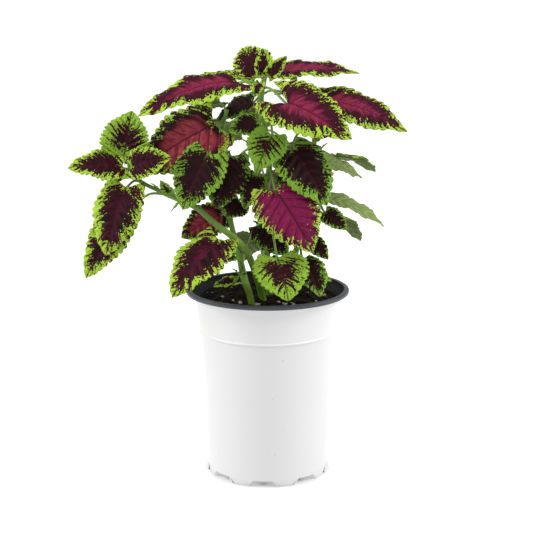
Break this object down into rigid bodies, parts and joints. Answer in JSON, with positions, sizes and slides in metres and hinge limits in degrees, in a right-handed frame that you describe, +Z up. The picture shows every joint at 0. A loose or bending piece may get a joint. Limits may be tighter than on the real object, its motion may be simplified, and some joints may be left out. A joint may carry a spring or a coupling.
{
  "type": "potted coleus plant",
  "caption": "Bushy foliage plant with toothed, two-tone maroon and lime leaves on leafy stems, rooted in soil in a tall tapered nursery pot with a rolled lip and notched foot.",
  "frame": {"origin": "centre of the pot's flat underside, on the surface that the pot stands on", "axes": "+Z up along the pot's axis, -Y towards the viewer of the plant's front, +X to the viewer's right"},
  "size_m": [0.3292, 0.2268, 0.4325],
  "materials": {
    "pot_plastic": "white outside with a slate-grey lip and a black inner layer, satin",
    "potting_soil": "moist dark peat and bark crumbs with cream grains of perlite",
    "leaf_blade": "velvety maroon with a magenta heart on some leaves and a blotched lime margin, paler green beneath",
    "green_stem": "smooth yellow-green, slightly translucent"
  },
  "bodies": {
    "root": {"pot": "pot_plastic", "soil": "potting_soil", "leafy_stem_left": "leaf_blade", "leafy_stem_front": "leaf_blade", "leafy_stem_centre": "leaf_blade", "leafy_stem_right": "leaf_blade", "leafy_stem_back": "leaf_blade"}
  },
  "joints": []
}
